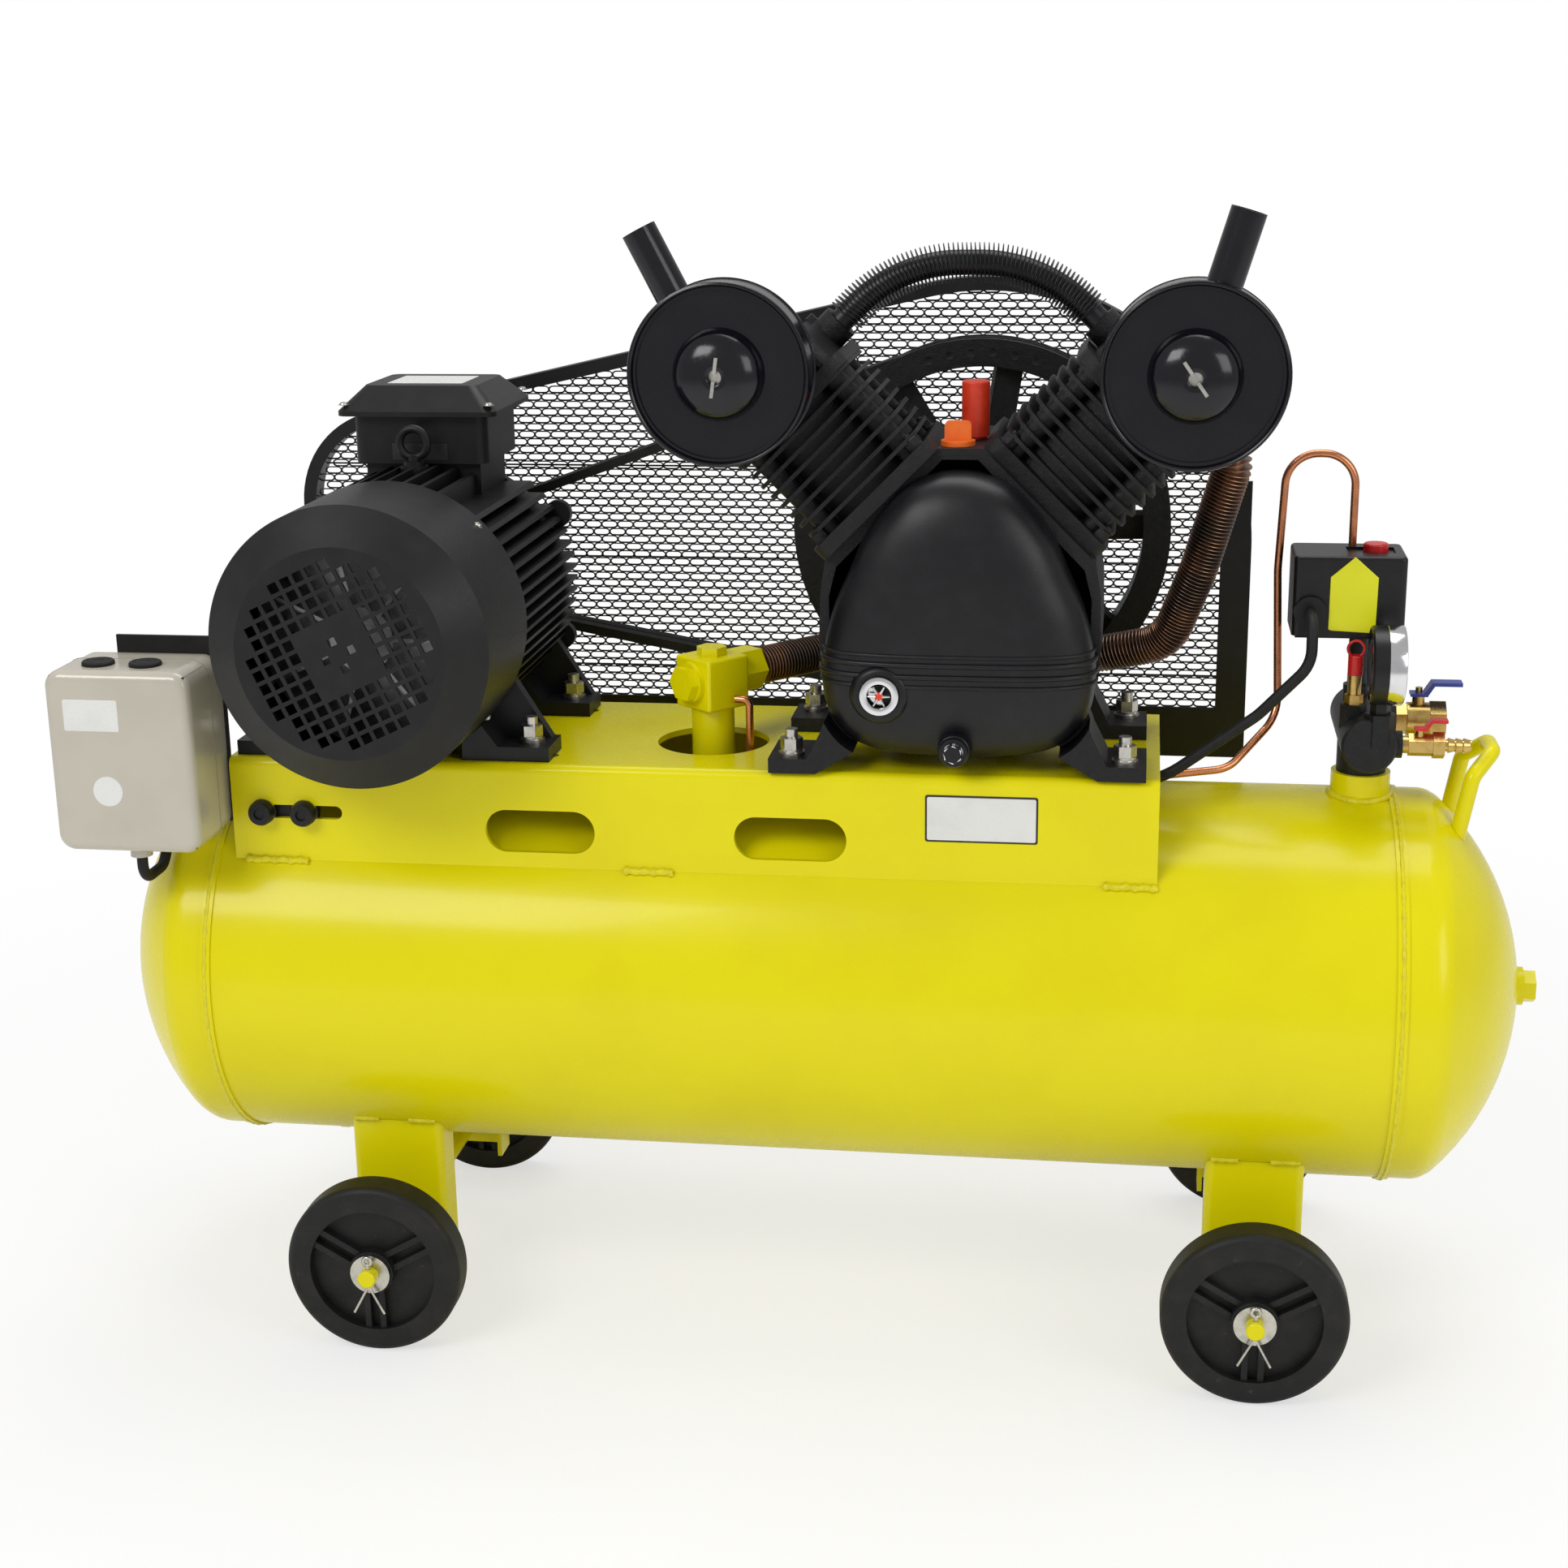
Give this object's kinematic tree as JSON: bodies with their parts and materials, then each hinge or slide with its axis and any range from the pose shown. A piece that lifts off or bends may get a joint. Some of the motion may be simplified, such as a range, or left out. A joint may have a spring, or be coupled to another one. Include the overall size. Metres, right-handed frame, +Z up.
{
  "type": "twin stack compressor",
  "caption": "Belt-driven V-twin piston air compressor with electric motor, belt guard, outlet manifold and starter on a wheeled horizontal air tank.",
  "frame": {"origin": "bottom centre of the bounding box, on the floor under the wheels", "axes": "+X along the tank towards the outlet end, -Y is the front with the oil glass, +Z is up"},
  "size_m": [1.206, 0.45, 0.9408],
  "materials": {
    "yellow_paint": "gloss lime yellow enamel",
    "black_wheel": "moulded black",
    "zinc": "bright zinc plated",
    "black_casting": "black painted casting",
    "black_sheet": "black semi-gloss",
    "machined": "machined",
    "piston_alloy": "turned",
    "bright_ring": "polished",
    "orange_cap": "moulded",
    "red_cap": "moulded",
    "belt_rubber": "V-belt",
    "finned_steel": "dark finned pipe",
    "copper": "bare copper",
    "cable": "cable sheath",
    "black_plastic": "moulded",
    "red_plastic": "moulded",
    "white_dial": "printed dial",
    "black_needle": "black",
    "clear": "clear",
    "brass": "cast brass",
    "blue_lever": "dipped vinyl",
    "cream_plastic": "moulded cream"
  },
  "bodies": {
    "base": {"air_filter_left": "black_sheet", "air_filter_right": "black_sheet", "axle_keepers": "zinc", "axles": "yellow_paint", "ball_valve": "brass", "base_plate": "yellow_paint", "breather": "red_cap", "check_valve": "yellow_paint", "crank_cover": "black_casting", "crankcase": "black_casting", "crossover_pipe": "finned_steel", "cylinder_left": "black_casting", "cylinder_right": "black_casting", "delivery_pipe": "finned_steel", "drive_belts": "belt_rubber", "fan_cover": "black_sheet", "gauge_case": "black_plastic", "gauge_dial": "white_dial", "gauge_lens": "clear", "guard_frame": "black_sheet", "guard_mesh": "black_sheet", "handles": "yellow_paint", "head_left": "black_casting", "head_right": "black_casting", "hose_cock": "brass", "legs": "yellow_paint", "manifold": "black_casting", "motor_frame": "black_casting", "mount_bolts": "zinc", "oil_fittings": "bright_ring", "safety_valve": "brass", "starter_base": "cream_plastic", "starter_bracket": "black_sheet", "starter_cover": "cream_plastic", "switch_base": "black_plastic", "switch_cable": "cable", "switch_cover": "black_plastic", "tank": "yellow_paint", "tank_fittings": "yellow_paint", "terminal_box": "black_sheet", "unloader_tube": "copper"},
    "crank": {"crankshaft": "machined", "flywheel": "black_casting"},
    "rotor": {"motor_rotor": "machined", "motor_pulley": "black_casting"},
    "piston_l": {"piston_left": "piston_alloy"},
    "piston_r": {"piston_right": "piston_alloy"},
    "rod_l": {"con_rod_left": "machined"},
    "rod_r": {"con_rod_right": "machined"},
    "knob": {"switch_knob": "red_plastic"},
    "main_lever": {"ball_lever": "blue_lever"},
    "hose_lever": {"cock_lever": "red_plastic"},
    "safety_pull": {"safety_ring": "red_plastic"},
    "needle": {"gauge_pointer": "black_needle"},
    "oil_cap": {"filler_plug": "orange_cap"},
    "wheel_front_left_body": {"wheel_front_left": "black_wheel"},
    "wheel_front_right_body": {"wheel_front_right": "black_wheel"},
    "wheel_rear_left_body": {"wheel_rear_left": "black_wheel"},
    "wheel_rear_right_body": {"wheel_rear_right": "black_wheel"}
  },
  "joints": [
    {"name": "wheel_front_left_spin", "type": "hinge", "parent": "base", "child": "wheel_front_left_body", "pos_m": [-0.355, -0.183, 0.075], "axis": [0, 1, 0], "continuous": true},
    {"name": "wheel_rear_left_spin", "type": "hinge", "parent": "base", "child": "wheel_rear_left_body", "pos_m": [-0.355, 0.177, 0.075], "axis": [0, 1, 0], "continuous": true},
    {"name": "wheel_front_right_spin", "type": "hinge", "parent": "base", "child": "wheel_front_right_body", "pos_m": [0.3745, -0.183, 0.075], "axis": [0, 1, 0], "continuous": true},
    {"name": "wheel_rear_right_spin", "type": "hinge", "parent": "base", "child": "wheel_rear_right_body", "pos_m": [0.3745, 0.177, 0.075], "axis": [0, 1, 0], "continuous": true},
    {"name": "crank_spin", "type": "hinge", "parent": "base", "child": "crank", "pos_m": [0.127, 0.177, 0.6485], "axis": [0, 1, 0], "continuous": true},
    {"name": "rotor_spin", "type": "hinge", "parent": "base", "child": "rotor", "pos_m": [-0.3395, 0.177, 0.612], "axis": [0, 1, 0], "continuous": true},
    {"name": "piston_left_slide", "type": "slide", "parent": "base", "child": "piston_l", "axis": [-0.7071, 0, 0.7071], "range_m": [-0.0495, 0.0105]},
    {"name": "rod_left_swing", "type": "hinge", "parent": "piston_l", "child": "rod_l", "pos_m": [0.01988, -0.041, 0.75562], "axis": [0, 1, 0], "range_deg": [-3.89, 22.38]},
    {"name": "piston_right_slide", "type": "slide", "parent": "base", "child": "piston_r", "axis": [0.7071, 0, 0.7071], "range_m": [-0.0495, 0.0105]},
    {"name": "rod_right_swing", "type": "hinge", "parent": "piston_r", "child": "rod_r", "pos_m": [0.23412, -0.015, 0.75562], "axis": [0, 1, 0], "range_deg": [-22.38, 3.89]},
    {"name": "switch_knob_pull", "type": "slide", "parent": "base", "child": "knob", "axis": [0, 0, 1], "range_m": [0, 0.006]},
    {"name": "main_valve_turn", "type": "hinge", "parent": "base", "child": "main_lever", "pos_m": [0.497, 0.015, 0.5403], "axis": [0, 0, 1], "range_deg": [0, 90]},
    {"name": "hose_valve_turn", "type": "hinge", "parent": "base", "child": "hose_lever", "pos_m": [0.493, -0.045, 0.5263], "axis": [0, 0, 1], "range_deg": [-90, 0]},
    {"name": "safety_pull_slide", "type": "slide", "parent": "base", "child": "safety_pull", "axis": [0, 0, 1], "range_m": [0, 0.003], "stiffness_N_per_m": 300},
    {"name": "gauge_needle_turn", "type": "hinge", "parent": "base", "child": "needle", "pos_m": [0.452, -0.055, 0.581], "axis": [1, 0, 0], "range_deg": [0, 270], "stiffness_Nm_per_rad": 0.0002},
    {"name": "oil_cap_lift", "type": "slide", "parent": "base", "child": "oil_cap", "axis": [0, 0, 1], "range_m": [0, 0.03]}
  ],
  "couplings": [
    {"joint": "rotor_spin", "follows": "crank_spin", "ratio": 3.9369}
  ]
}
